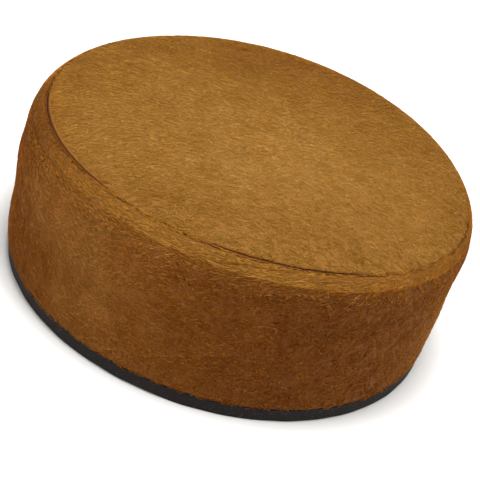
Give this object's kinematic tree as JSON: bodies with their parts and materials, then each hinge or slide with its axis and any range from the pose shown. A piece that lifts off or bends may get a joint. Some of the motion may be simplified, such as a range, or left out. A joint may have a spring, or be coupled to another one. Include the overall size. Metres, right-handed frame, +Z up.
{
  "type": "kufi cap",
  "caption": "Round pillbox kufi cap of short-pile cloth, with a gently domed crown sewn to an upright side band and a folded tape binding round its open rim.",
  "frame": {"origin": "middle of the open rim, on the surface that the cap stands on", "axes": "+Z up through the crown; -Y towards the cap's front; +X to the right of the front as the camera sees it"},
  "size_m": [0.1952, 0.195, 0.0764],
  "materials": {
    "crown_cloth": "short brushed wool pile, matt with a soft sheen",
    "band_cloth": "short brushed wool pile, matt with a soft sheen",
    "binding_tape": "matt woven cotton tape"
  },
  "bodies": {
    "root": {"crown_top": "crown_cloth", "side_band": "band_cloth", "rim_binding": "binding_tape"}
  },
  "joints": []
}
